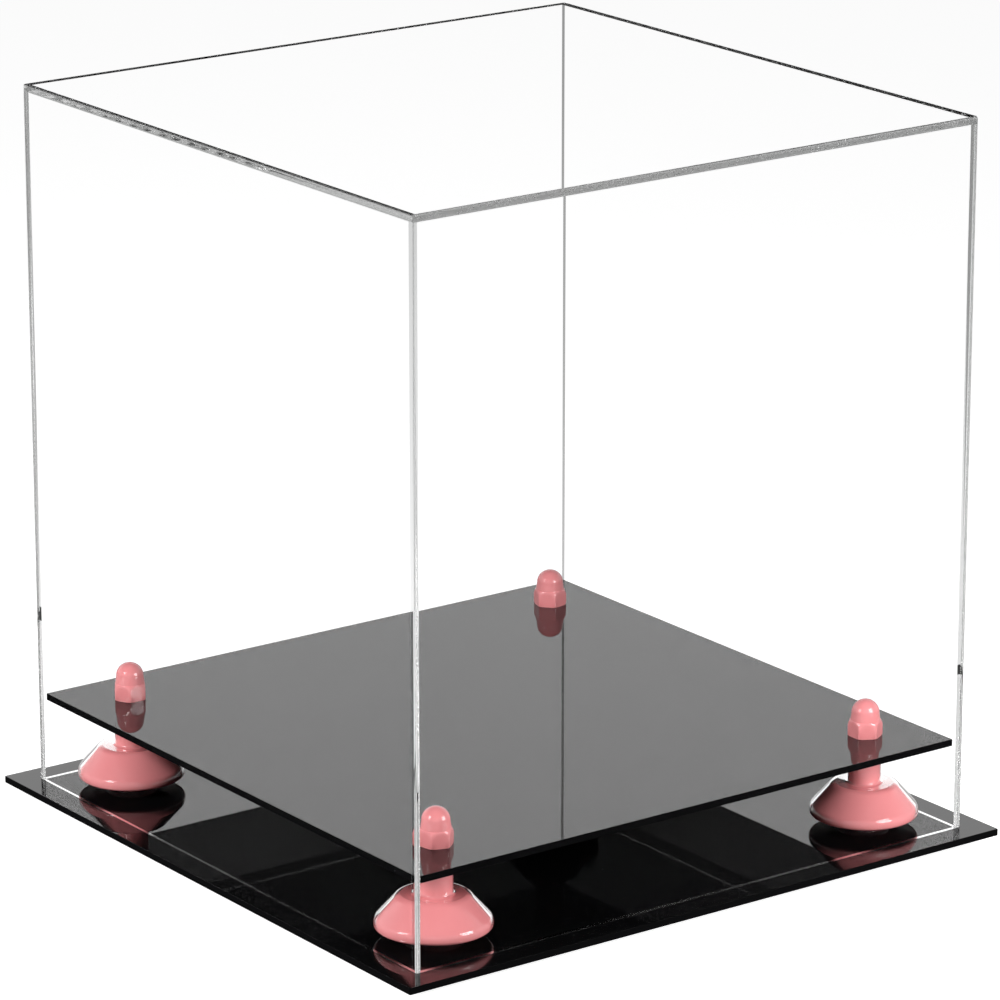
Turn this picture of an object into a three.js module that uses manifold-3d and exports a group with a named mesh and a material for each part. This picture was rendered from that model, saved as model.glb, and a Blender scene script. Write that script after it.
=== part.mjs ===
// Display case: a clear lift-off cover over a dark base plate, with a dark shelf
// carried above the base on four flared risers and held down by domed nuts.
// Millimetres, +Z up. The origin is on the ground, under the middle of the case.
// -Y is the front and -X is the left side.
import * as THREE from 'three';
import { mergeVertices } from 'three/addons/utils/BufferGeometryUtils.js';
import Module from 'manifold-3d';

// Cover: four walls and a top panel, cemented along their edges
const coverWidth = 280;
const coverDepth = 280;
const coverHeight = 305;
const coverSheet = 3;
const coverUprightEdgeRound = 1.8;
const coverTopEdgeRound = 1;

// Base plate, which the cover stands on
const baseMargin = 11;
const baseSheet = 3;
const baseEdgeRelief = 0.3;

// Shelf, which sets the cover's place by filling it almost wall to wall
const shelfWallClearance = 0.75;
const shelfSheet = 3;
const shelfEdgeRelief = 0.3;

// Risers: a foot, a round rim that hides it by standing out far over it, a straight
// flank, a shoulder and a neck
const riserInset = 26; // from the shelf's edges to the riser's axis
const riserHeight = 36;
const riserFootRadius = 10.5;
const riserFootHeight = 2.8;
const riserRimRadius = 22.9;
const riserRimLowHeight = 4.5;
const riserRimHighHeight = 8;
const riserRimLowRound = 1.5;
const riserRimHighRound = 4.5;
const riserShoulderRadius = 13.6;
const riserShoulderHeight = 18.4;
const riserShoulderRound = 4;
const riserNeckRadius = 6.9;
const riserNeckFillet = 3;

// Screws, which run up through base plate, riser and shelf into the nuts
const screwRadius = 3;
const screwHoleClearance = 0.35;
const screwGripInNut = 7.5;
const screwTipRelief = 0.6;
const screwHeadRadius = 5.25;
const screwHeadHeight = 3.3;
const screwHeadCrownRadius = 2.9;
const screwHeadRimHeight = 0.8;
const screwSocketAcrossFlats = 4;
const screwSocketDepth = 2;

// Washers between the screw heads and the underside of the base plate
const washerRadius = 6.25;
const washerThickness = 1.6;
const washerHoleClearance = 0.2;

// Domed nuts on the shelf
const nutAcrossFlats = 13;
const nutHexHeight = 6.2;
const nutHexTopRelief = 1.1;
const nutHexBottomRelief = 0.3;
const nutHeight = 15.8;
const nutDomeBaseRadius = 6;
const nutDomeTopRadius = 5.5;
const nutThreadClearance = 0.15;
const nutTipRoom = 0.8;

// Bumper feet under the base plate
const footInset = 26; // from the base plate's edges to the foot's axis
const footHeight = 6.4;
const footTopRadius = 6.35;
const footBottomRadius = 5.4;
const footBottomRound = 1;

// Cutters run past the faces that they cut by this much
const cutOverrun = 1;

// Facets, and each nut's turn in degrees: nobody lines up the hexagons when tightening
const riserSides = 36;
const turnedSides = 24;
const hexSides = 6;
const uprightEdgeSegments = 3;
const topEdgeSegments = 3;
const arcStepAngle = THREE.MathUtils.degToRad(18);
const corners = [
  { name: 'front_left', x: -1, y: -1, nutTurn: 40 },
  { name: 'front_right', x: 1, y: -1, nutTurn: 29 },
  { name: 'back_left', x: -1, y: 1, nutTurn: -2 },
  { name: 'back_right', x: 1, y: 1, nutTurn: 12 },
];

// Levels, from the ground up
const baseBottom = footHeight;
const baseTop = baseBottom + baseSheet;
const shelfBottom = baseTop + riserHeight;
const shelfTop = shelfBottom + shelfSheet;
const wallHeight = coverHeight - coverSheet;

// Plan sizes and the places of what stands in the corners
const baseWidth = coverWidth + 2 * baseMargin;
const baseDepth = coverDepth + 2 * baseMargin;
const insideWidth = coverWidth - 2 * coverSheet;
const insideDepth = coverDepth - 2 * coverSheet;
const shelfWidth = insideWidth - 2 * shelfWallClearance;
const shelfDepth = insideDepth - 2 * shelfWallClearance;
const riserX = shelfWidth / 2 - riserInset;
const riserY = shelfDepth / 2 - riserInset;
const footX = baseWidth / 2 - footInset;
const footY = baseDepth / 2 - footInset;
const screwHoleRadius = screwRadius + screwHoleClearance;

const wasm = await Module();
wasm.setup();

// A closed geometry as a solid that can be joined and cut
function toSolid(geometry) {
  const bare = geometry.index ? geometry.toNonIndexed() : geometry.clone();
  bare.deleteAttribute('normal');
  bare.deleteAttribute('uv');
  const merged = mergeVertices(bare);
  const mesh = new wasm.Mesh({
    numProp: 3,
    vertProperties: new Float32Array(merged.attributes.position.array),
    triVerts: new Uint32Array(merged.index.array),
  });
  return new wasm.Manifold(mesh);
}

// The solid's surface as a geometry again
function toGeometry(solid) {
  const mesh = solid.getMesh();
  const geometry = new THREE.BufferGeometry();
  geometry.setAttribute('position', new THREE.BufferAttribute(mesh.vertProperties, mesh.numProp));
  geometry.setIndex(new THREE.BufferAttribute(mesh.triVerts, 1));
  geometry.computeVertexNormals();
  return geometry;
}

// How much of the side from one outline corner to the next an arc may take up:
// half of it where the other corner is rounded too, or else all of it
function roomOnSide(side, otherCorner) {
  return otherCorner.round ? side.length() / 2 : side.length();
}

// An outline from corners {r, z, round}: each corner with a round becomes an arc
// that is tangent to its two sides and no larger than they leave room for
function roundedOutline(outlineCorners) {
  const points = [];
  outlineCorners.forEach((corner, i) => {
    const here = new THREE.Vector2(corner.r, corner.z);
    if (!corner.round) {
      points.push(here);
      return;
    }
    const before = outlineCorners[i - 1];
    const after = outlineCorners[i + 1];
    const toBefore = new THREE.Vector2(before.r, before.z).sub(here);
    const toAfter = new THREE.Vector2(after.r, after.z).sub(here);
    const room = Math.min(roomOnSide(toBefore, before), roomOnSide(toAfter, after));
    toBefore.normalize();
    toAfter.normalize();
    const halfAngle = Math.acos(THREE.MathUtils.clamp(toBefore.dot(toAfter), -1, 1)) / 2;
    const setback = Math.min(corner.round / Math.tan(halfAngle), room);
    const radius = setback * Math.tan(halfAngle);
    const middle = toBefore.clone().add(toAfter).normalize();
    const centre = here.clone().addScaledVector(middle, radius / Math.sin(halfAngle));
    const start = here.clone().addScaledVector(toBefore, setback).sub(centre);
    const sweep = Math.PI - 2 * halfAngle;
    const turn = Math.sign(toBefore.cross(toAfter));
    const steps = Math.ceil(sweep / arcStepAngle);
    for (let step = 0; step <= steps; step += 1) {
      const angle = -turn * sweep * (step / steps);
      points.push(start.clone().rotateAround(new THREE.Vector2(), angle).add(centre));
    }
  });
  return points;
}

// A solid turned about the Z axis from an outline that starts and ends on the axis
function turned(points, sides) {
  const geometry = new THREE.LatheGeometry(points, sides);
  geometry.rotateX(Math.PI / 2);
  return toSolid(geometry);
}

// A round cutter from one level to another, in the middle or at a place
function roundCutter(radius, low, high, place = new THREE.Vector2()) {
  const geometry = new THREE.CylinderGeometry(radius, radius, high - low, turnedSides);
  geometry.rotateX(Math.PI / 2);
  geometry.translate(place.x, place.y, (low + high) / 2);
  return toSolid(geometry);
}

// A six-sided prism that stands on a level
function hexPrism(acrossFlats, low, high) {
  const cornerRadius = acrossFlats / 2 / Math.cos(Math.PI / hexSides);
  const geometry = new THREE.CylinderGeometry(cornerRadius, cornerRadius, high - low, hexSides);
  geometry.rotateX(Math.PI / 2);
  geometry.rotateZ(Math.PI / 2);
  geometry.translate(0, 0, (low + high) / 2);
  return toSolid(geometry);
}

// A flat sheet lying on level zero, its edges relieved all round on both faces
function sheet(width, depth, thickness, relief) {
  const outline = new THREE.Shape();
  const halfWidth = width / 2 - relief;
  const halfDepth = depth / 2 - relief;
  outline.moveTo(-halfWidth, -halfDepth);
  outline.lineTo(halfWidth, -halfDepth);
  outline.lineTo(halfWidth, halfDepth);
  outline.lineTo(-halfWidth, halfDepth);
  outline.closePath();
  const geometry = new THREE.ExtrudeGeometry(outline, {
    depth: thickness - 2 * relief,
    bevelEnabled: true,
    bevelThickness: relief,
    bevelSize: relief,
    bevelSegments: 1,
  });
  geometry.translate(0, 0, relief);
  return toSolid(geometry);
}

// A sheet with a hole over each riser's axis
function drilledSheet(width, depth, thickness, relief) {
  let plate = sheet(width, depth, thickness, relief);
  for (const corner of corners) {
    const place = new THREE.Vector2(corner.x * riserX, corner.y * riserY);
    plate = plate.subtract(roundCutter(screwHoleRadius, -cutOverrun, thickness + cutOverrun, place));
  }
  return plate;
}

// The cover's outer form: a block from below level zero up to the cover's height,
// with its four upright edges and its top edges rounded
function coverForm() {
  const outline = new THREE.Shape();
  const round = coverUprightEdgeRound - coverTopEdgeRound;
  const arcX = coverWidth / 2 - coverUprightEdgeRound;
  const arcY = coverDepth / 2 - coverUprightEdgeRound;
  const quarter = Math.PI / 2;
  outline.absarc(arcX, arcY, round, 0, quarter);
  outline.absarc(-arcX, arcY, round, quarter, 2 * quarter);
  outline.absarc(-arcX, -arcY, round, 2 * quarter, 3 * quarter);
  outline.absarc(arcX, -arcY, round, 3 * quarter, 4 * quarter);
  outline.closePath();
  const geometry = new THREE.ExtrudeGeometry(outline, {
    depth: coverHeight - coverTopEdgeRound + cutOverrun,
    curveSegments: uprightEdgeSegments,
    bevelEnabled: true,
    bevelThickness: coverTopEdgeRound,
    bevelSize: coverTopEdgeRound,
    bevelSegments: topEdgeSegments,
  });
  geometry.translate(0, 0, -cutOverrun);
  return toSolid(geometry);
}

// A panel of the cover: a sheet of the given size at a place, cut to the cover's form
function coverPanel(form, width, depth, height, x, y, low) {
  const geometry = new THREE.BoxGeometry(width, depth, height);
  geometry.translate(x, y, low + height / 2);
  return toGeometry(toSolid(geometry).intersect(form));
}

// One riser, standing on level zero, with the screw's hole up its middle
function riserSolid() {
  const outline = roundedOutline([
    { r: 0, z: 0 },
    { r: riserFootRadius, z: 0 },
    { r: riserFootRadius, z: riserFootHeight },
    { r: riserRimRadius, z: riserRimLowHeight, round: riserRimLowRound },
    { r: riserRimRadius, z: riserRimHighHeight, round: riserRimHighRound },
    { r: riserShoulderRadius, z: riserShoulderHeight, round: riserShoulderRound },
    { r: riserNeckRadius, z: riserShoulderHeight, round: riserNeckFillet },
    { r: riserNeckRadius, z: riserHeight },
    { r: 0, z: riserHeight },
  ]);
  const hole = roundCutter(screwHoleRadius, -cutOverrun, riserHeight + cutOverrun);
  return turned(outline, riserSides).subtract(hole);
}

// One domed nut, standing on level zero: a hexagon with relieved corners, a dome
// that narrows a little towards its round top, and a blind hole from below
function nutSolid() {
  const cornerRadius = nutAcrossFlats / 2 / Math.cos(Math.PI / hexSides);
  const relieved = turned(
    roundedOutline([
      { r: 0, z: 0 },
      { r: cornerRadius - nutHexBottomRelief, z: 0 },
      { r: cornerRadius, z: nutHexBottomRelief },
      { r: cornerRadius, z: nutHexHeight - nutHexTopRelief },
      { r: nutDomeBaseRadius, z: nutHexHeight },
      { r: 0, z: nutHexHeight },
    ]),
    turnedSides,
  );
  const hexagon = hexPrism(nutAcrossFlats, 0, nutHexHeight).intersect(relieved);
  const dome = turned(
    roundedOutline([
      { r: 0, z: nutHexHeight / 2 },
      { r: nutDomeBaseRadius, z: nutHexHeight / 2 },
      { r: nutDomeBaseRadius, z: nutHexHeight },
      { r: nutDomeTopRadius, z: nutHeight, round: nutDomeTopRadius },
      { r: 0, z: nutHeight },
    ]),
    turnedSides,
  );
  const threadRadius = screwRadius + nutThreadClearance;
  const thread = roundCutter(threadRadius, -cutOverrun, screwGripInNut + nutTipRoom);
  return hexagon.add(dome).subtract(thread);
}

// One screw, its head's seat on level zero and its shank pointing up
function screwSolid() {
  const shankLength = washerThickness + baseSheet + riserHeight + shelfSheet + screwGripInNut;
  const body = turned(
    roundedOutline([
      { r: 0, z: -screwHeadHeight },
      { r: screwHeadCrownRadius, z: -screwHeadHeight },
      { r: screwHeadRadius, z: -screwHeadRimHeight, round: screwHeadHeight - screwHeadRimHeight },
      { r: screwHeadRadius, z: 0 },
      { r: screwRadius, z: 0 },
      { r: screwRadius, z: shankLength - screwTipRelief },
      { r: screwRadius - screwTipRelief, z: shankLength },
      { r: 0, z: shankLength },
    ]),
    turnedSides,
  );
  const socketTop = screwSocketDepth - screwHeadHeight;
  return body.subtract(hexPrism(screwSocketAcrossFlats, -screwHeadHeight - cutOverrun, socketTop));
}

// One flat washer, lying on level zero
function washerSolid() {
  const disc = roundCutter(washerRadius, 0, washerThickness);
  const holeRadius = screwRadius + washerHoleClearance;
  return disc.subtract(roundCutter(holeRadius, -cutOverrun, washerThickness + cutOverrun));
}

// One bumper foot, standing on the ground
function footSolid() {
  const outline = roundedOutline([
    { r: 0, z: 0 },
    { r: footBottomRadius, z: 0, round: footBottomRound },
    { r: footTopRadius, z: footHeight },
    { r: 0, z: footHeight },
  ]);
  return turned(outline, turnedSides);
}

const clearSheet = { color: 0xf3f7f8, roughness: 0.04, metalness: 0, transparent: true, opacity: 0.22 };
const blackSheet = { color: 0x08080a, roughness: 0.06, metalness: 0 };
const pinkGloss = { color: 0xf09194, roughness: 0.12, metalness: 0 };
const zincSteel = { color: 0xb9bbbd, roughness: 0.3, metalness: 1 };
const clearRubber = { color: 0xdde1e2, roughness: 0.35, metalness: 0, transparent: true, opacity: 0.7 };

const displayCase = new THREE.Group();

// One named piece of the case, with its finish and its place
function addPiece(parent, name, geometry, finish, x, y, z, turn = 0) {
  const piece = new THREE.Mesh(geometry, new THREE.MeshStandardMaterial(finish));
  piece.name = name;
  piece.position.set(x, y, z);
  piece.rotation.z = THREE.MathUtils.degToRad(turn);
  parent.add(piece);
}

// What stays on the table: base plate, shelf, and a stack of fittings in each corner
const basePlate = toGeometry(drilledSheet(baseWidth, baseDepth, baseSheet, baseEdgeRelief));
const shelfPlate = toGeometry(drilledSheet(shelfWidth, shelfDepth, shelfSheet, shelfEdgeRelief));
addPiece(displayCase, 'base_plate', basePlate, blackSheet, 0, 0, baseBottom);
addPiece(displayCase, 'display_shelf', shelfPlate, blackSheet, 0, 0, shelfBottom);

const riser = toGeometry(riserSolid());
const nut = toGeometry(nutSolid());
const screw = toGeometry(screwSolid());
const washer = toGeometry(washerSolid());
const foot = toGeometry(footSolid());
const screwSeat = baseBottom - washerThickness;
for (const corner of corners) {
  const x = corner.x * riserX;
  const y = corner.y * riserY;
  addPiece(displayCase, `riser_${corner.name}`, riser.clone(), pinkGloss, x, y, baseTop);
  addPiece(displayCase, `domed_nut_${corner.name}`, nut.clone(), pinkGloss, x, y, shelfTop, corner.nutTurn);
  addPiece(displayCase, `riser_screw_${corner.name}`, screw.clone(), zincSteel, x, y, screwSeat);
  addPiece(displayCase, `washer_${corner.name}`, washer.clone(), zincSteel, x, y, screwSeat);
  addPiece(displayCase, `bumper_foot_${corner.name}`, foot.clone(), clearRubber,
    corner.x * footX, corner.y * footY, 0);
}

// What lifts off: the cover. Its front and back walls are as wide as the cover, the
// side walls stand between them, and the top panel lies on all four
const cover = new THREE.Group();
cover.position.z = baseTop;
displayCase.add(cover);

const form = coverForm();
const wallX = (coverWidth - coverSheet) / 2;
const wallY = (coverDepth - coverSheet) / 2;
const panels = [
  { name: 'front', width: coverWidth, depth: coverSheet, height: wallHeight, x: 0, y: -wallY, low: 0 },
  { name: 'back', width: coverWidth, depth: coverSheet, height: wallHeight, x: 0, y: wallY, low: 0 },
  { name: 'left', width: coverSheet, depth: insideDepth, height: wallHeight, x: -wallX, y: 0, low: 0 },
  { name: 'right', width: coverSheet, depth: insideDepth, height: wallHeight, x: wallX, y: 0, low: 0 },
  { name: 'top', width: coverWidth, depth: coverDepth, height: coverSheet, x: 0, y: 0, low: wallHeight },
];
for (const { name, width, depth, height, x, y, low } of panels) {
  const panel = coverPanel(form, width, depth, height, x, y, low);
  addPiece(cover, `cover_${name}_panel`, panel, clearSheet, 0, 0, 0);
}

export default displayCase;
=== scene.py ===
import math

import bmesh
import bpy
from mathutils import Matrix, Vector


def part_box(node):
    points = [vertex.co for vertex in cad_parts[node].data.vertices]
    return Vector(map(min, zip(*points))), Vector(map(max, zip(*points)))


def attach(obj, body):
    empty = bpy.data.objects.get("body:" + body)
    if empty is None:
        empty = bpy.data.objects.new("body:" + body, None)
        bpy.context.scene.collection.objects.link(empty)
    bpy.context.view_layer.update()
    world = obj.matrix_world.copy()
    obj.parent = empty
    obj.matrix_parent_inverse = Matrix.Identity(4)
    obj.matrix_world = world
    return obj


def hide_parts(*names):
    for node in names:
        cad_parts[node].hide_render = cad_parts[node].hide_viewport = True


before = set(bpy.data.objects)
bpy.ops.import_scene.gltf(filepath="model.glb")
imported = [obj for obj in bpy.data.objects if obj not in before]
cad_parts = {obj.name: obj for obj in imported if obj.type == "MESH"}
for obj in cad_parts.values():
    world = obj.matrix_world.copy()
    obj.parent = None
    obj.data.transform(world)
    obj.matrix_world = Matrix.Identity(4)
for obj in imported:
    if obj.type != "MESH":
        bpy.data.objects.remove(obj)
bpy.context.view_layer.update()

scene = bpy.context.scene

MM = 0.001
CORNERS = ("front_left", "front_right", "back_left", "back_right")
# Edges that bend less than this are shaded smooth, and faces larger than this (m2) stay flat
SMOOTH_BELOW = math.radians(38)
FLAT_ABOVE = 0.0004


# The camera of the photograph, and render settings

CAMERA_PLACE = (-1.2985, -1.7789, 0.8132)
CAMERA_PITCH = math.radians(16.916)
CAMERA_HEADING = math.radians(36.185)
CAMERA_LENS = 198.47
CAMERA_SENSOR = 36.0

camera_data = bpy.data.cameras.new("photo_camera")
camera_data.sensor_width = CAMERA_SENSOR
camera_data.lens = CAMERA_LENS
camera_data.clip_end = 100.0
camera = bpy.data.objects.new("photo_camera", camera_data)
camera.location = CAMERA_PLACE
camera.rotation_euler = (math.pi / 2 - CAMERA_PITCH, 0.0, -CAMERA_HEADING)
scene.collection.objects.link(camera)
scene.camera = camera

scene.view_settings.view_transform = "Standard"
# Light runs the whole length of a sheet between its faces before it comes out at the edge
SHEET_BOUNCES = 200
scene.cycles.max_bounces = SHEET_BOUNCES
scene.cycles.transmission_bounces = SHEET_BOUNCES
scene.cycles.glossy_bounces = SHEET_BOUNCES
scene.cycles.diffuse_bounces = 4
scene.cycles.transparent_max_bounces = 64
scene.cycles.caustics_reflective = False
scene.cycles.caustics_refractive = False


# Node trees

class Tree:
    """A short way to write node trees."""

    def __init__(self, owner):
        owner.use_nodes = True
        self.tree = owner.node_tree
        self.tree.nodes.clear()

    def node(self, kind, inputs=(), **settings):
        made = self.tree.nodes.new(kind)
        for name, value in settings.items():
            setattr(made, name, value)
        for key, value in dict(inputs).items():
            self.put(made.inputs[key], value)
        return made

    def put(self, socket, value):
        if isinstance(value, bpy.types.NodeSocket):
            self.tree.links.new(value, socket)
        elif hasattr(value, "outputs"):
            self.tree.links.new(value.outputs[0], socket)
        else:
            socket.default_value = value

    def math(self, operation, first, second):
        return self.node("ShaderNodeMath", {0: first, 1: second}, operation=operation)

    def ramp(self, value, low, high, to_low=0.0, to_high=1.0, smooth=False):
        return self.node(
            "ShaderNodeMapRange",
            {"Value": value, "From Min": low, "From Max": high, "To Min": to_low, "To Max": to_high},
            interpolation_type="SMOOTHSTEP" if smooth else "LINEAR",
        )

    def noise(self, place, size, detail, rough=0.5):
        return self.node(
            "ShaderNodeTexNoise",
            {"Vector": place, "Scale": 1.0 / size, "Detail": detail, "Roughness": rough},
        )

    def bump(self, height, distance):
        return self.node("ShaderNodeBump", {"Height": height, "Distance": distance, "Strength": 1.0})

    def blend(self, factor, first, second):
        """A colour between two, both given as (r, g, b)."""
        mix = self.node("ShaderNodeMix", data_type="RGBA")
        self.put(mix.inputs["Factor"], factor)
        self.put(mix.inputs["A"], (*first, 1.0))
        self.put(mix.inputs["B"], (*second, 1.0))
        return mix.outputs["Result"]

    def either(self, share, first, second):
        """A surface between two."""
        return self.node("ShaderNodeMixShader", {0: share, 1: first.outputs[0], 2: second.outputs[0]})

    def finish(self, surface, volume=None):
        output = self.node("ShaderNodeOutputMaterial")
        self.put(output.inputs["Surface"], surface)
        if volume is not None:
            self.put(output.inputs["Volume"], volume)


def grey(level):
    return (level, level, level, 1.0)


def seen(tree, straight, mirrored):
    """What a background gives to rays that look at it: one strength where they come straight,
    through clear sheet or along inside it, another where a gloss mirrors it. Light gets 0."""
    path = tree.node("ShaderNodeLightPath")
    looks = tree.math("MAXIMUM", path.outputs["Is Camera Ray"], path.outputs["Is Glossy Ray"])
    looks = tree.math("MAXIMUM", looks, path.outputs["Is Transmission Ray"])
    # One or two mirrorings are a gloss; more of them are light guided along inside a sheet
    mirrorings = path.outputs["Glossy Depth"]
    some = tree.math("GREATER_THAN", mirrorings, 0.5)
    few = tree.math("LESS_THAN", mirrorings, 2.5)
    by_gloss = tree.math("MULTIPLY", some, few)
    strength = tree.ramp(by_gloss, 0.0, 1.0, straight, mirrored)
    return looks, strength


# Materials

ACRYLIC_INDEX = 1.49
# Share of the light that a clear face has to throw back before it shows as a mirror
MIRROR_FROM = 0.44
MOST_SHEEN = 0.95
DUST_SPACING = 9 * MM
BUBBLE_SPACING = 1.1 * MM
# Rougher than this, a clear face has the fine grain of a worked edge, not a sheet's soft haze
GRAIN_ABOVE = 0.01


def black_acrylic(name, gloss, roughness):
    """Black sheet, with a haze in its gloss and a few specks of dust."""
    material = bpy.data.materials.new(name)
    t = Tree(material)
    place = t.node("ShaderNodeTexCoord").outputs["Object"]
    haze = t.noise(place, 45 * MM, 4.0)
    wave = t.noise(place, 70 * MM, 1.0)
    specks = t.node("ShaderNodeTexVoronoi", {"Vector": place, "Scale": 1.0 / DUST_SPACING})
    speck = t.ramp(specks.outputs["Distance"], 0.012, 0.03, 1.0, 0.0)
    shader = t.node(
        "ShaderNodeBsdfPrincipled",
        {
            "Base Color": t.blend(speck, (0.0035, 0.0035, 0.0038), (0.10, 0.10, 0.105)),
            "Roughness": t.ramp(haze, 0.35, 0.75, roughness, roughness * 3),
            "IOR": ACRYLIC_INDEX,
            "Specular IOR Level": gloss,
            "Normal": t.bump(wave, 0.01 * MM),
        },
    )
    t.finish(shader)
    return material


def pink_gloss(name, sheen_from, sheen_to):
    """Smooth pink moulding. Seen at a slant its surface turns to pure gloss, most of all where
    it faces up; a face standing upright keeps more of its colour."""
    material = bpy.data.materials.new(name)
    t = Tree(material)
    place = t.node("ShaderNodeTexCoord").outputs["Object"]
    cloud = t.noise(place, 9 * MM, 3.0)
    skin = t.noise(place, 2.2 * MM, 2.0)
    body = t.node(
        "ShaderNodeBsdfPrincipled",
        {
            "Base Color": t.blend(cloud, (0.86, 0.272, 0.285), (0.90, 0.300, 0.312)),
            "Roughness": t.ramp(cloud, 0.3, 0.7, 0.035, 0.07),
            "IOR": 1.5,
            "Normal": t.bump(skin, 0.004 * MM),
        },
    )
    facing = t.node("ShaderNodeLayerWeight", {"Blend": 0.5})
    slant = t.ramp(facing.outputs["Facing"], sheen_from, sheen_to, 0.0, MOST_SHEEN, smooth=True)
    normal = t.node("ShaderNodeNewGeometry").outputs["Normal"]
    upward = t.node("ShaderNodeSeparateXYZ", {0: normal})
    sheen = t.math("MULTIPLY", slant, t.ramp(upward.outputs["Z"], -0.3, 0.5))
    lacquer = t.node("ShaderNodeBsdfAnisotropic", {"Color": grey(1.0), "Roughness": 0.03})
    t.finish(t.either(sheen, body, lacquer))
    return material


def zinc_steel():
    """Bright zinc plate with a fine grain."""
    material = bpy.data.materials.new("zinc_plated_steel")
    t = Tree(material)
    place = t.node("ShaderNodeTexCoord").outputs["Object"]
    grain = t.noise(place, 0.8 * MM, 4.0, 0.6)
    patches = t.noise(place, 5 * MM, 3.0)
    shader = t.node(
        "ShaderNodeBsdfPrincipled",
        {
            "Base Color": t.blend(patches, (0.47, 0.485, 0.50), (0.56, 0.55, 0.53)),
            "Metallic": 1.0,
            "Roughness": t.ramp(grain, 0.3, 0.7, 0.22, 0.38),
            "Normal": t.bump(grain, 0.01 * MM),
        },
    )
    t.finish(shader)
    return material


def clear_rubber():
    """Satin clear rubber, a little cloudy."""
    material = bpy.data.materials.new("clear_rubber_satin")
    t = Tree(material)
    place = t.node("ShaderNodeTexCoord").outputs["Object"]
    skin = t.noise(place, 0.9 * MM, 3.0)
    haze = t.noise(place, 4 * MM, 2.0)
    shader = t.node(
        "ShaderNodeBsdfPrincipled",
        {
            "Base Color": t.blend(haze, (0.66, 0.71, 0.72), (0.76, 0.79, 0.79)),
            "Roughness": t.ramp(skin, 0.3, 0.7, 0.28, 0.42),
            "IOR": 1.5,
            "Transmission Weight": 0.55,
            "Normal": t.bump(skin, 0.01 * MM),
        },
    )
    t.finish(shader)
    return material


def clear_acrylic(name, rough_low=0.0, rough_high=0.004, tint=1.0, seam=False):
    """Clear sheet. Light and shadow rays go straight through it. What is looked at is bent, and
    mirrored only at a grazing angle or from inside, past the critical angle. A seam is clear
    wherever the cement has wetted it."""
    material = bpy.data.materials.new(name)
    t = Tree(material)
    place = t.node("ShaderNodeTexCoord").outputs["Object"]
    if rough_high > GRAIN_ABOVE:
        grain = t.noise(place, 1.5 * MM, 3.0)
        roughness = t.ramp(grain, 0.3, 0.7, rough_low, rough_high)
        relief = t.bump(grain, 0.004 * MM)
    else:
        haze = t.noise(place, 30 * MM, 3.0)
        wave = t.noise(place, 90 * MM, 1.0)
        roughness = t.ramp(haze, 0.6, 0.85, rough_low, rough_high)
        relief = t.bump(wave, 0.004 * MM)
    look = {"Roughness": roughness, "Normal": relief}
    bent = t.node("ShaderNodeBsdfRefraction", look, distribution="GGX")
    t.put(bent.inputs["IOR"], ACRYLIC_INDEX)
    # A tint below 1 darkens what is seen through the face; on the worked edges this is painted shade
    t.put(bent.inputs["Color"], grey(tint))
    mirrored = t.node("ShaderNodeBsdfAnisotropic", look)
    t.put(mirrored.inputs["Color"], grey(1.0))
    fresnel = t.node("ShaderNodeFresnel", {"IOR": ACRYLIC_INDEX, "Normal": relief})
    acrylic = t.either(t.ramp(fresnel, MIRROR_FROM, 1.0), bent, mirrored)
    through = t.node("ShaderNodeBsdfTransparent", {"Color": (0.96, 0.965, 0.963, 1.0)})
    path = t.node("ShaderNodeLightPath")
    straight = t.math("MAXIMUM", path.outputs["Is Shadow Ray"], path.outputs["Is Diffuse Ray"])
    surface = t.either(straight, acrylic, through)
    if seam:
        bubbles = t.node("ShaderNodeTexVoronoi", {"Vector": place, "Scale": 1.0 / BUBBLE_SPACING})
        patch = t.noise(place, 18 * MM, 2.0)
        limit = t.ramp(patch, 0.60, 0.8, 0.0, 0.34)
        bubble = t.math("LESS_THAN", bubbles.outputs["Distance"], limit)
        wetted = t.node("ShaderNodeBsdfTransparent", {"Color": grey(tint)})
        surface = t.either(bubble, wetted, surface)
    inside = t.node("ShaderNodeVolumeAbsorption", {"Color": (0.60, 0.61, 0.605, 1.0), "Density": 0.4})
    t.finish(surface, inside)
    return material


BLACK = black_acrylic("black_acrylic_polished", 0.46, 0.008)
BLACK_EDGE = black_acrylic("black_acrylic_cut_edge", 0.003, 0.10)
PINK = pink_gloss("pink_gloss_moulded", 0.59, 0.71)
PINK_NUT = pink_gloss("pink_gloss_nut", 0.75, 0.95)
ZINC = zinc_steel()
RUBBER = clear_rubber()
# The worked edges get the grain of their finish from their roughness. Their grey tint is painted
# shade, which darkens the bands along the cover's edges
CLEAR_SLOTS = [
    clear_acrylic("clear_acrylic_sheet"),
    clear_acrylic("clear_acrylic_flamed_edge", 0.01, 0.03),
    clear_acrylic("clear_acrylic_scraped_edge_painted_shade", 0.02, 0.08, tint=0.68),
    clear_acrylic("clear_acrylic_rubbed_edge_painted_shade", 0.02, 0.06, tint=0.86),
    clear_acrylic("clear_acrylic_milled_edge_painted_shade", 0.03, 0.10, tint=0.58),
    clear_acrylic("clear_acrylic_eased_edge_painted_shade", 0.04, 0.12, tint=0.25),
    clear_acrylic("clear_acrylic_sawn_edge_painted_shade", 0.20, 0.40, tint=0.58),
    clear_acrylic("clear_acrylic_standing_edge_painted_shade", 0.03, 0.10, tint=0.5),
    clear_acrylic("clear_acrylic_seam", seam=True),
    clear_acrylic("clear_acrylic_hazy_seam", tint=0.94, seam=True),
]
(
    SHEET_FACE, FLAMED_EDGE, SCRAPED_SHADED_EDGE, RUBBED_SHADED_EDGE, MILLED_SHADED_EDGE,
    EASED_SHADED_EDGE, SAWN_SHADED_EDGE, STANDING_SHADED_EDGE, SEAM_FACE, HAZY_SEAM_FACE,
) = range(len(CLEAR_SLOTS))


# Shapes

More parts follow.
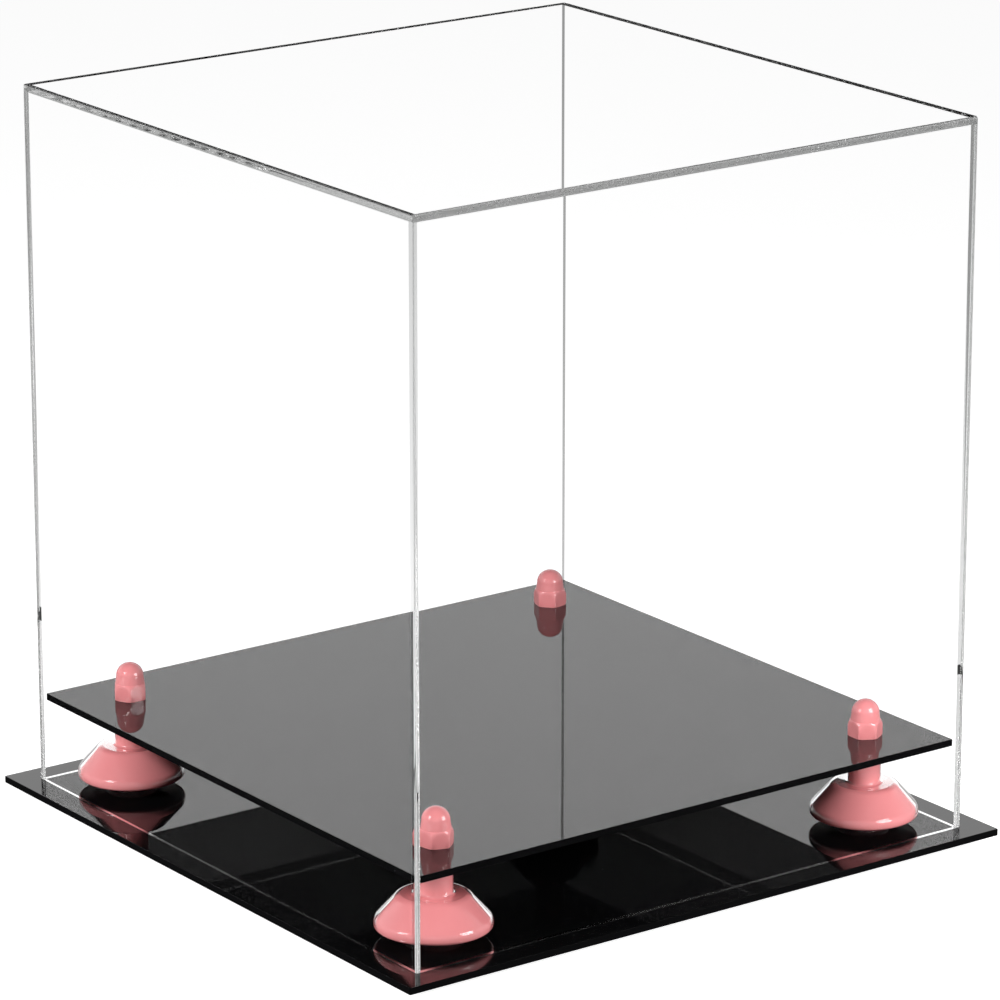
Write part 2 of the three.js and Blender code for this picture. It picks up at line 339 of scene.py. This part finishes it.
def rounded_outline(corners, arc_steps):
    """Points (r, z) through corners (r, z, round), each round an arc tangent to its sides."""
    points = []
    for i, (r, z, round_radius) in enumerate(corners):
        here = Vector((r, z))
        if not round_radius:
            points.append(here)
            continue
        before = Vector(corners[i - 1][:2])
        after = Vector(corners[(i + 1) % len(corners)][:2])
        to_before = before - here
        to_after = after - here
        room_before = to_before.length / (2 if corners[i - 1][2] else 1)
        room_after = to_after.length / (2 if corners[(i + 1) % len(corners)][2] else 1)
        to_before.normalize()
        to_after.normalize()
        half = math.acos(max(-1.0, min(1.0, to_before.dot(to_after)))) / 2
        setback = min(round_radius / math.tan(half), room_before, room_after)
        radius = setback * math.tan(half)
        centre = here + (to_before + to_after).normalized() * (radius / math.sin(half))
        start = here + to_before * setback - centre
        turn = 1.0 if to_before.x * to_after.y - to_before.y * to_after.x > 0 else -1.0
        sweep = math.pi - 2 * half
        for step in range(arc_steps + 1):
            angle = -turn * sweep * step / arc_steps
            cosine, sine = math.cos(angle), math.sin(angle)
            offset = (start.x * cosine - start.y * sine, start.x * sine + start.y * cosine)
            points.append(centre + Vector(offset))
    return [(p.x, p.y) for p in points]


# Half the angle that a flat of a hexagon takes up, seen from the middle
HALF_FLAT = math.radians(30)


def even_angles(count):
    return [2 * math.pi * i / count for i in range(count)]


def hex_angles(per_corner=7, per_flat=8, round_span=math.radians(4.5)):
    """Angles round a hexagon, close together at its rounded corners."""
    angles = []
    flat_span = 2 * HALF_FLAT - 2 * round_span
    for corner in range(6):
        middle = 2 * HALF_FLAT * corner
        for i in range(per_corner):
            angles.append(middle - round_span + 2 * round_span * i / (per_corner - 1))
        for i in range(1, per_flat):
            angles.append(middle + round_span + flat_span * i / per_flat)
    return angles


def hexagon(across_flats, corner_round):
    """Radius of a hexagon with rounded corners, as a function of the angle from a corner."""
    apothem = across_flats / 2
    middle = (apothem - corner_round) / math.cos(HALF_FLAT)
    tangent = math.atan2(corner_round / 2, middle + corner_round * math.cos(HALF_FLAT))

    def radius(angle):
        off = abs((angle + HALF_FLAT) % (2 * HALF_FLAT) - HALF_FLAT)
        if off < tangent:
            return middle * math.cos(off) + math.sqrt(corner_round**2 - (middle * math.sin(off)) ** 2)
        return apothem / math.cos(HALF_FLAT - off)

    return radius


def softer_of(first, second, blend):
    """The smaller of two lengths, with the crease between them rounded."""
    gap = abs(first - second) / blend
    return min(first, second) - blend * math.log1p(math.exp(-gap))


def finish_mesh(name, bm, materials, smooth=True):
    """The mesh as an object. Large flat faces stay flat beside rounded edges."""
    bmesh.ops.recalc_face_normals(bm, faces=bm.faces)
    flat_faces = [face.index for face in bm.faces if face.calc_area() > FLAT_ABOVE]
    mesh = bpy.data.meshes.new(name)
    bm.to_mesh(mesh)
    bm.free()
    for material in materials:
        mesh.materials.append(material)
    if smooth:
        mesh.shade_smooth()
        mesh.set_sharp_from_angle(angle=SMOOTH_BELOW)
        for index in flat_faces:
            mesh.polygons[index].use_smooth = False
    piece = bpy.data.objects.new(name, mesh)
    scene.collection.objects.link(piece)
    return piece


def ringed(name, rings, angles, material, closed=False):
    """A turned form from rings (radius or radius of angle, z) in millimetres, about the Z axis.
    An open one is capped on the axis at both ends; a closed one goes round a hole."""
    bm = bmesh.new()
    loops = []
    for radius, z in rings:
        loop = []
        for angle in angles:
            r = radius(angle) if callable(radius) else radius
            loop.append(bm.verts.new((r * MM * math.cos(angle), r * MM * math.sin(angle), z * MM)))
        loops.append(loop)
    count = len(angles)
    pairs = list(zip(loops, loops[1:]))
    if closed:
        pairs.append((loops[-1], loops[0]))
    for low, high in pairs:
        for i in range(count):
            j = (i + 1) % count
            bm.faces.new((low[i], low[j], high[j], high[i]))
    if not closed:
        for loop, z in ((loops[0], rings[0][1]), (loops[-1], rings[-1][1])):
            pole = bm.verts.new((0.0, 0.0, z * MM))
            for i in range(count):
                bm.faces.new((loop[i], loop[(i + 1) % count], pole))
    return finish_mesh(name, bm, [material])


def seat(piece, node, body, turn=0.0):
    """Puts a turned piece where its CAD node stands, and lets it ride in the node's stead."""
    low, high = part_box(node)
    piece.location = ((low.x + high.x) / 2, (low.y + high.y) / 2, low.z)
    piece.rotation_euler = (0.0, 0.0, turn)
    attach(piece, body)
    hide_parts(node)


# Risers. From here on, lengths with names in capitals are in millimetres.

SHEET = 3.0
RISER_HEIGHT = 36.0
RISER_FOOT_RADIUS = 10.5
RISER_FOOT_HEIGHT = 2.8
RISER_RIM_RADIUS = 22.9
RISER_RIM_LOW, RISER_RIM_HIGH = 4.5, 8.0
RISER_SHOULDER_RADIUS = 13.6
RISER_SHOULDER_HEIGHT = 18.4
RISER_NECK_RADIUS = 6.9
HOLE_RADIUS = 3.35

# Radius, height and rounding of each corner of the riser's section, in millimetres
riser_corners = [
    (HOLE_RADIUS, 0.0, 0.0),
    (RISER_FOOT_RADIUS, 0.0, 0.2),
    (RISER_FOOT_RADIUS, RISER_FOOT_HEIGHT, 0.5),
    (RISER_RIM_RADIUS, RISER_RIM_LOW, 1.5),
    (RISER_RIM_RADIUS, RISER_RIM_HIGH, 4.5),
    (RISER_SHOULDER_RADIUS, RISER_SHOULDER_HEIGHT, 4.0),
    (RISER_NECK_RADIUS, RISER_SHOULDER_HEIGHT, 1.2),
    (RISER_NECK_RADIUS, RISER_HEIGHT, 0.25),
    (HOLE_RADIUS, RISER_HEIGHT, 0.0),
]
riser_rings = rounded_outline(riser_corners, arc_steps=12)
for corner in CORNERS:
    riser = ringed("pink_riser_" + corner, riser_rings, even_angles(144), PINK, closed=True)
    seat(riser, "riser_" + corner, "stand")


# Domed nuts

# How far each nut was turned when it was tightened, in degrees
NUT_TURNS = {"front_left": 40, "front_right": 29, "back_left": -2, "back_right": 12}
NUT_ACROSS_FLATS = 13.0
NUT_CORNER_ROUND = 1.0
NUT_HEX_HEIGHT = 6.9
NUT_TOP_RELIEF = 1.9
NUT_BOTTOM_RELIEF = 0.3
NUT_RELIEF_BLEND = 0.22
NUT_SLOPE_START = 0.1
NUT_HEIGHT = 15.8
DOME_BASE_RADIUS = 6.25
DOME_BASE_LEDGE = 0.3
DOME_FILLET_WIDTH, DOME_FILLET_HEIGHT = 0.1, 0.4
DOME_SHOULDER_RADIUS = 5.85
DOME_SHOULDER_HEIGHT = 10.2
THREAD_RADIUS = 3.15
THREAD_DEPTH = 8.3
# A ring this small round a pole closes a turned form there
POLE_RADIUS = 0.05
# A cone this much wider than the hexagon's corners leaves them as they are
CLEAR_OF_CORNERS = 2.0


def between(first, second, share):
    return first + (second - first) * share


def nut_rings():
    """The bore, then the hexagon with relieved ends, and the dome above it."""
    plan = hexagon(NUT_ACROSS_FLATS, NUT_CORNER_ROUND)
    corner_radius = NUT_ACROSS_FLATS / 2 / math.cos(HALF_FLAT)

    def relieved(cone):
        return lambda angle: softer_of(plan(angle), cone, NUT_RELIEF_BLEND)

    rings = [(POLE_RADIUS, THREAD_DEPTH), (THREAD_RADIUS, THREAD_DEPTH), (THREAD_RADIUS, 0.0)]
    for share in (0.0, 0.25, 0.5, 0.75):
        z = NUT_BOTTOM_RELIEF * share
        rings.append((relieved(corner_radius - NUT_BOTTOM_RELIEF + z), z))
    straight_top = NUT_HEX_HEIGHT - NUT_TOP_RELIEF
    for share in (0.0, 0.5, 0.97):
        z = between(NUT_BOTTOM_RELIEF, straight_top, share)
        rings.append((relieved(corner_radius + CLEAR_OF_CORNERS), z))
    slope_steps = 12
    for i in range(slope_steps + 1):
        share = i / slope_steps
        cone = between(corner_radius + NUT_SLOPE_START, DOME_BASE_RADIUS + DOME_BASE_LEDGE, share)
        rings.append((relieved(cone), straight_top + NUT_TOP_RELIEF * share))
    fillet_steps = 6
    for i in range(fillet_steps + 1):
        turn = math.pi / 2 * i / fillet_steps
        r = DOME_BASE_RADIUS + DOME_FILLET_WIDTH * (1 - math.sin(turn))
        rings.append((r, NUT_HEX_HEIGHT + DOME_FILLET_HEIGHT * (1 - math.cos(turn))))
    side_steps = 6
    for i in range(1, side_steps):
        share = i / side_steps
        r = between(DOME_BASE_RADIUS, DOME_SHOULDER_RADIUS, share)
        rings.append((r, between(NUT_HEX_HEIGHT + DOME_FILLET_HEIGHT, DOME_SHOULDER_HEIGHT, share)))
    dome_steps = 22
    for i in range(dome_steps):
        turn = math.pi / 2 * i / dome_steps
        z = between(DOME_SHOULDER_HEIGHT, NUT_HEIGHT, math.sin(turn))
        rings.append((DOME_SHOULDER_RADIUS * math.cos(turn), z))
    rings.append((POLE_RADIUS, NUT_HEIGHT))
    return rings


for corner in CORNERS:
    nut = ringed("pink_domed_nut_" + corner, nut_rings(), hex_angles(), PINK_NUT)
    seat(nut, "domed_nut_" + corner, "stand", math.radians(NUT_TURNS[corner]))


# Screws, washers and feet, out of sight under the base plate

WASHER_THICKNESS = 1.6
THREAD_IN_NUT = 7.5
SCREW_RADIUS = 3.0
SCREW_LENGTH = WASHER_THICKNESS + SHEET + RISER_HEIGHT + SHEET + THREAD_IN_NUT
HEAD_RADIUS = 5.25
HEAD_HEIGHT = 3.3
CROWN_FLAT_RADIUS = 2.9
CROWN_HEIGHT = 2.5
SOCKET_ACROSS_FLATS = 4.0
SOCKET_DEPTH = 2.0


def screw_rings():
    """From the floor of the socket, out over the head and up the shank. The crown is at 0."""
    socket = hexagon(SOCKET_ACROSS_FLATS, 0.12)
    rings = [
        (0.4, SOCKET_DEPTH + 0.35),
        (1.9, SOCKET_DEPTH),
        (socket, SOCKET_DEPTH - 0.02),
        (socket, 0.25),
        (lambda angle: socket(angle) + 0.12, 0.05),
        (lambda angle: max(socket(angle) + 0.25, 2.6), 0.0),
    ]
    crown_steps = 12
    for i in range(crown_steps + 1):
        turn = math.pi / 2 * i / crown_steps
        r = between(CROWN_FLAT_RADIUS, HEAD_RADIUS, math.sin(turn))
        rings.append((r, CROWN_HEIGHT * (1 - math.cos(turn)) + 0.02))
    rings += [
        (HEAD_RADIUS, HEAD_HEIGHT - 0.1),
        (HEAD_RADIUS - 0.1, HEAD_HEIGHT),
        (SCREW_RADIUS + 0.2, HEAD_HEIGHT),
        (SCREW_RADIUS, HEAD_HEIGHT + 0.2),
        (SCREW_RADIUS, HEAD_HEIGHT + SCREW_LENGTH - 0.6),
        (SCREW_RADIUS - 0.6, HEAD_HEIGHT + SCREW_LENGTH),
        (0.4, HEAD_HEIGHT + SCREW_LENGTH),
    ]
    return rings


WASHER_BORE, WASHER_RADIUS = 3.2, 6.25
FOOT_LOW_RADIUS, FOOT_HIGH_RADIUS = 5.4, 6.35
FOOT_HEIGHT = 6.4
FOOT_POLE_RADIUS = 0.3

washer_corners = [
    (WASHER_BORE, 0.0, 0.1),
    (WASHER_RADIUS, 0.0, 0.2),
    (WASHER_RADIUS, WASHER_THICKNESS, 0.2),
    (WASHER_BORE, WASHER_THICKNESS, 0.1),
]
foot_corners = [
    (FOOT_POLE_RADIUS, 0.0, 0.0),
    (FOOT_LOW_RADIUS, 0.0, 1.0),
    (FOOT_HIGH_RADIUS, FOOT_HEIGHT, 0.15),
    (FOOT_POLE_RADIUS, FOOT_HEIGHT, 0.0),
]
washer_rings = rounded_outline(washer_corners, arc_steps=4)
foot_rings = rounded_outline(foot_corners, arc_steps=8)
for corner in CORNERS:
    screw = ringed("steel_screw_" + corner, screw_rings(), hex_angles(), ZINC)
    seat(screw, "riser_screw_" + corner, "stand")
    washer = ringed("steel_washer_" + corner, washer_rings, even_angles(96), ZINC, closed=True)
    seat(washer, "washer_" + corner, "stand")
    foot = ringed("rubber_foot_" + corner, foot_rings, even_angles(72), RUBBER)
    seat(foot, "bumper_foot_" + corner, "stand")


# Black sheets and the clear cover

COVER_SIDE = 280.0
# Rounds of the cover's upright outer corners: front left, and the other three
NEAR_UPRIGHT_ROUND = 0.5
UPRIGHT_ROUND = 1.8
# How far down the top edges are eased by hand, and then how far in
TOP_ROUND = 1.0
TOP_ROUND_LEFT = 0.4
EASED_LEFT, EASED_RIGHT = 0.4, 1.0
EASED_FRONT, EASED_BACK = 1.0, 2.2
# Share of its round that a corner loses on the way to the top
CORNER_EASING = 0.6
# Cemented faces stand this far apart, so that each is seen as a face of its own
SEAM_GAP = 0.02
# The cover stands this far clear of the base plate, which keeps the two faces apart
FOOT_GAP = 0.05

cover_low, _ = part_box("cover_front_panel")
_, cover_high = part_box("cover_top_panel")
COVER_BOTTOM = cover_low.z / MM
COVER_TOP = cover_high.z / MM
HALF = COVER_SIDE / 2
INNER = HALF - SHEET
WALL_TOP = COVER_TOP - SHEET

# Edges and corners of the black sheets
SHEET_EDGE_ROUND = 0.35
SHEET_CORNER_ROUND = 0.3
# A cut this close to a vertex goes through it (metres)
CUT_DISTANCE = 1e-7
# A normal with at least this much of an axis counts as facing along it
FACING = 0.9


def plan_outline(low, high, rounds, steps=8):
    """A rectangle seen from above, anticlockwise from (low.x, low.y), each corner with its round."""
    spots = [(low[0], low[1]), (high[0], low[1]), (high[0], high[1]), (low[0], high[1])]
    inward = [(1, 1), (-1, 1), (-1, -1), (1, -1)]
    points = []
    for i, ((x, y), (sx, sy), r) in enumerate(zip(spots, inward, rounds)):
        if r <= 0:
            points.append((x, y))
            continue
        start = math.pi + i * math.pi / 2
        for step in range(steps + 1):
            angle = start + math.pi / 2 * step / steps
            points.append((x + sx * r + r * math.cos(angle), y + sy * r + r * math.sin(angle)))
    return points


def prism(levels):
    """A closed solid through outlines [(points, z)], all with the same number of points."""
    bm = bmesh.new()
    loops = [[bm.verts.new((x * MM, y * MM, z * MM)) for x, y in points] for points, z in levels]
    count = len(loops[0])
    for low, high in zip(loops, loops[1:]):
        for i in range(count):
            j = (i + 1) % count
            bm.faces.new((low[i], low[j], high[j], high[i]))
    bm.faces.new(list(reversed(loops[0])))
    bm.faces.new(loops[-1])
    return bm


def black_sheet(name, node):
    """A sheet as large as its CAD node, with rounded edges and a hole on each riser's axis."""
    low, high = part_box(node)
    low, high = low / MM, high / MM
    levels = []
    arc_steps = 3
    for end, sign in ((low.z, 1), (high.z, -1)):
        for i in range(arc_steps + 1):
            turn = math.pi / 2 * (i if sign > 0 else arc_steps - i) / arc_steps
            inset = SHEET_EDGE_ROUND * (1 - math.sin(turn))
            points = plan_outline(
                (low.x + inset, low.y + inset),
                (high.x - inset, high.y - inset),
                (SHEET_CORNER_ROUND + SHEET_EDGE_ROUND - inset,) * 4,
                steps=3,
            )
            levels.append((points, end + sign * SHEET_EDGE_ROUND * (1 - math.cos(turn))))
    bm = prism(levels)
    for face in bm.faces:
        face.normal_update()
        face.material_index = 0 if abs(face.normal.z) > FACING else 1
    plate = finish_mesh(name, bm, [BLACK, BLACK_EDGE])
    cutters = bmesh.new()
    for corner in CORNERS:
        riser_low, riser_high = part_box("riser_" + corner)
        middle = (riser_low + riser_high) / 2
        middle.z = (low.z + high.z) / 2 * MM
        bmesh.ops.create_cone(
            cutters,
            cap_ends=True,
            segments=48,
            radius1=HOLE_RADIUS * MM,
            radius2=HOLE_RADIUS * MM,
            depth=4 * SHEET * MM,
            matrix=Matrix.Translation(middle),
        )
    cutter = finish_mesh(name + "_holes", cutters, [BLACK_EDGE], smooth=False)
    drill = plate.modifiers.new("holes", "BOOLEAN")
    drill.operation = "DIFFERENCE"
    drill.solver = "EXACT"
    drill.object = cutter
    drilled = plate.evaluated_get(bpy.context.evaluated_depsgraph_get())
    plate.data = bpy.data.meshes.new_from_object(drilled)
    plate.modifiers.clear()
    bpy.data.objects.remove(cutter)
    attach(plate, "stand")
    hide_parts(node)


black_sheet("black_base_plate", "base_plate")
black_sheet("black_display_shelf", "display_shelf")


def split(bm, at, axis, faces):
    """Cuts these faces across an axis without taking anything away."""
    parts = list(faces)
    for face in faces:
        parts += list(face.edges) + list(face.verts)
    parts = list(dict.fromkeys(parts))
    place = Vector(axis) * at * MM
    bmesh.ops.bisect_plane(bm, geom=parts, plane_co=place, plane_no=axis, dist=CUT_DISTANCE)


def cover_piece(name, bm, node, kind_of_face):
    """A panel of the cover, each of its faces with the slot that kind_of_face gives it."""
    for face in bm.faces:
        face.normal_update()
        face.material_index = kind_of_face(face.calc_center_median() / MM, face.normal)
    piece = finish_mesh(name, bm, CLEAR_SLOTS)
    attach(piece, "cover")
    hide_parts(node)


def long_wall(side):
    """The front (-1) or back (1) wall, as wide as the cover, its upright outer edges rounded."""
    low, high = sorted((side * HALF, side * INNER))
    if side < 0:
        rounds = (NEAR_UPRIGHT_ROUND, UPRIGHT_ROUND, 0, 0)
    else:
        rounds = (0, 0, UPRIGHT_ROUND, UPRIGHT_ROUND)
    points = plan_outline((-HALF, low), (HALF, high), rounds)
    bm = prism([(points, COVER_BOTTOM + FOOT_GAP), (points, WALL_TOP - SEAM_GAP / 2)])
    for x in (-INNER, INNER):
        split(bm, x, (1, 0, 0), list(bm.faces))

    def kind(middle, normal):
        if normal.z > FACING:
            return SEAM_FACE
        if normal.z < -FACING:
            return STANDING_SHADED_EDGE
        if normal.y * side < -FACING and abs(middle.x) > INNER:
            return SEAM_FACE if middle.x < 0 else HAZY_SEAM_FACE
        is_end = abs(middle.x) > INNER and abs(normal.x) > 0.1
        if is_end:
            if side > 0:
                return MILLED_SHADED_EDGE
            return FLAMED_EDGE if middle.x < 0 else RUBBED_SHADED_EDGE
        return SHEET_FACE

    return bm, kind


def short_wall(side):
    """The left (-1) or right (1) wall, which stands between the front and back walls."""
    low, high = sorted((side * HALF, side * INNER))
    reach = INNER - SEAM_GAP
    points = plan_outline((low, -reach), (high, reach), (0, 0, 0, 0))
    bm = prism([(points, COVER_BOTTOM + FOOT_GAP), (points, WALL_TOP - SEAM_GAP / 2)])

    def kind(middle, normal):
        if normal.z > FACING:
            return SEAM_FACE
        if abs(normal.y) > FACING:
            return SEAM_FACE if side < 0 else HAZY_SEAM_FACE
        return STANDING_SHADED_EDGE if normal.z < -FACING else SHEET_FACE

    return bm, kind


def top_panel():
    """The panel that lies on all four walls, its top edges eased by hand, the back one most."""
    corner_rounds = (NEAR_UPRIGHT_ROUND, UPRIGHT_ROUND, UPRIGHT_ROUND, UPRIGHT_ROUND)
    base = plan_outline((-HALF, -HALF), (HALF, HALF), corner_rounds)
    levels = [(base, WALL_TOP + SEAM_GAP / 2)]
    arc_steps = 9
    for i in range(arc_steps + 1):
        rise = math.sin(math.pi / 2 * i / arc_steps)
        share = 1 - math.sqrt(max(0.0, 1 - rise**2))
        left_rise = max(0.0, 1 - (1 - rise) * TOP_ROUND / TOP_ROUND_LEFT)
        left_share = 1 - math.sqrt(max(0.0, 1 - left_rise**2))
        low = (-HALF + EASED_LEFT * left_share, -HALF + EASED_FRONT * share)
        high = (HALF - EASED_RIGHT * share, HALF - EASED_BACK * share)
        rounds = [r * (1 - CORNER_EASING * share) for r in corner_rounds]
        points = plan_outline(low, high, rounds)
        levels.append((points, COVER_TOP - TOP_ROUND + TOP_ROUND * rise))
    bm = prism(levels)
    for axis in ((1, 0, 0), (0, 1, 0)):
        for where in (-INNER, INNER):
            under = [f for f in bm.faces if abs(f.calc_center_median().z / MM - WALL_TOP) < 0.1]
            split(bm, where, axis, under)

    def kind(middle, normal):
        if normal.z < -FACING:
            return SEAM_FACE if max(abs(middle.x), abs(middle.y)) > INNER else SHEET_FACE
        if normal.z > FACING:
            return SHEET_FACE
        # The whole front edge, up to the middle of the rounds at its ends
        if middle.y < -INNER and abs(normal.y) > 0.7 * (1 - abs(normal.z)):
            return SAWN_SHADED_EDGE
        leans_up = normal.z > 0.15
        if leans_up:
            return EASED_SHADED_EDGE
        return SCRAPED_SHADED_EDGE if middle.x < -INNER and middle.y < INNER else FLAMED_EDGE

    return bm, kind


for name, (bm, kind) in {
    "front": long_wall(-1),
    "back": long_wall(1),
    "left": short_wall(-1),
    "right": short_wall(1),
    "top": top_panel(),
}.items():
    cover_piece(f"clear_{name}_panel", bm, f"cover_{name}_panel", kind)


# Floor, background and lamps, with lengths in metres again

FLOOR_REACH = 12.0
FLOOR_LEVEL = -0.0002
FLOOR_GLOW = 0.90
FLOOR_GLOW_IN_GLOSS = 0.15
FLOOR_COLOUR = grey(0.8)
BACKGROUND_LEVEL = 1.0
AMBIENT_LEVEL = 0.045
# What a gloss mirrors of the background: bright low down, darker overhead
MIRRORED_LOW, MIRRORED_HIGH = 1.2, 0.30

bm = bmesh.new()
spots = [(-1, -1), (1, -1), (1, 1), (-1, 1)]
bm.faces.new([bm.verts.new((x * FLOOR_REACH, y * FLOOR_REACH, FLOOR_LEVEL)) for x, y in spots])
floor_material = bpy.data.materials.new("studio_floor")
t = Tree(floor_material)
floor_place = t.node("ShaderNodeTexCoord").outputs["Object"]
paper = t.noise(floor_place, 4 * MM, 2.0)
matt = t.node("ShaderNodeBsdfDiffuse", {"Color": FLOOR_COLOUR, "Normal": t.bump(paper, 0.02 * MM)})
glow = t.node("ShaderNodeEmission", {"Color": grey(1.0)})
looks, strength = seen(t, FLOOR_GLOW, FLOOR_GLOW_IN_GLOSS)
t.put(glow.inputs["Strength"], t.math("MULTIPLY", looks, strength))
t.finish(t.node("ShaderNodeAddShader", {0: matt.outputs[0], 1: glow.outputs[0]}))
floor = finish_mesh("studio_floor", bm, [floor_material], smooth=False)
if floor.data.polygons[0].normal.z < 0:
    floor.data.flip_normals()

world = bpy.data.worlds.new("studio")
scene.world = world
t = Tree(world)
direction = t.node("ShaderNodeTexCoord").outputs["Generated"]
height = t.node("ShaderNodeSeparateXYZ", {0: direction}).outputs["Z"]
level = t.ramp(height, 0.40, 0.75, MIRRORED_LOW, MIRRORED_HIGH, smooth=True)
looks, strength = seen(t, BACKGROUND_LEVEL, level)
shown = t.node("ShaderNodeBackground", {"Color": grey(1.0), "Strength": strength})
ambient = t.node("ShaderNodeBackground", {"Color": grey(1.0), "Strength": AMBIENT_LEVEL})
t.put(t.node("ShaderNodeOutputWorld").inputs["Surface"], t.either(looks, ambient, shown))


# Directions in plan, to the right of the camera and back towards it, and the lamps' aim
RIGHTWARD = Vector((0.807, -0.591, 0.0))
TOWARD = Vector((-0.591, -0.807, 0.0))
UPWARD = Vector((0.0, 0.0, 1.0))
AIM = Vector((0.0, 0.0, 0.02))


def softbox(name, side_degrees, height_degrees, distance, size, power):
    """A square lamp aimed at the foot of the case, so many degrees to the right and up of the
    camera's side. It gives highlights to what stands behind the cover's clear sheets only."""
    side = math.radians(side_degrees)
    rise = math.radians(height_degrees)
    level = RIGHTWARD * math.sin(side) + TOWARD * math.cos(side)
    light = bpy.data.lights.new(name, "AREA")
    light.shape = "SQUARE"
    light.size = size
    light.energy = power
    lamp = bpy.data.objects.new(name, light)
    lamp.location = AIM + (level * math.cos(rise) + UPWARD * math.sin(rise)) * distance
    lamp.rotation_euler = (AIM - lamp.location).to_track_quat("-Z", "Y").to_euler()
    lamp.visible_glossy = False
    scene.collection.objects.link(lamp)


softbox("soft_left", -55, 29, distance=1.1, size=0.30, power=9.6)
softbox("soft_right", 52, 22, distance=0.6, size=0.25, power=2.6)
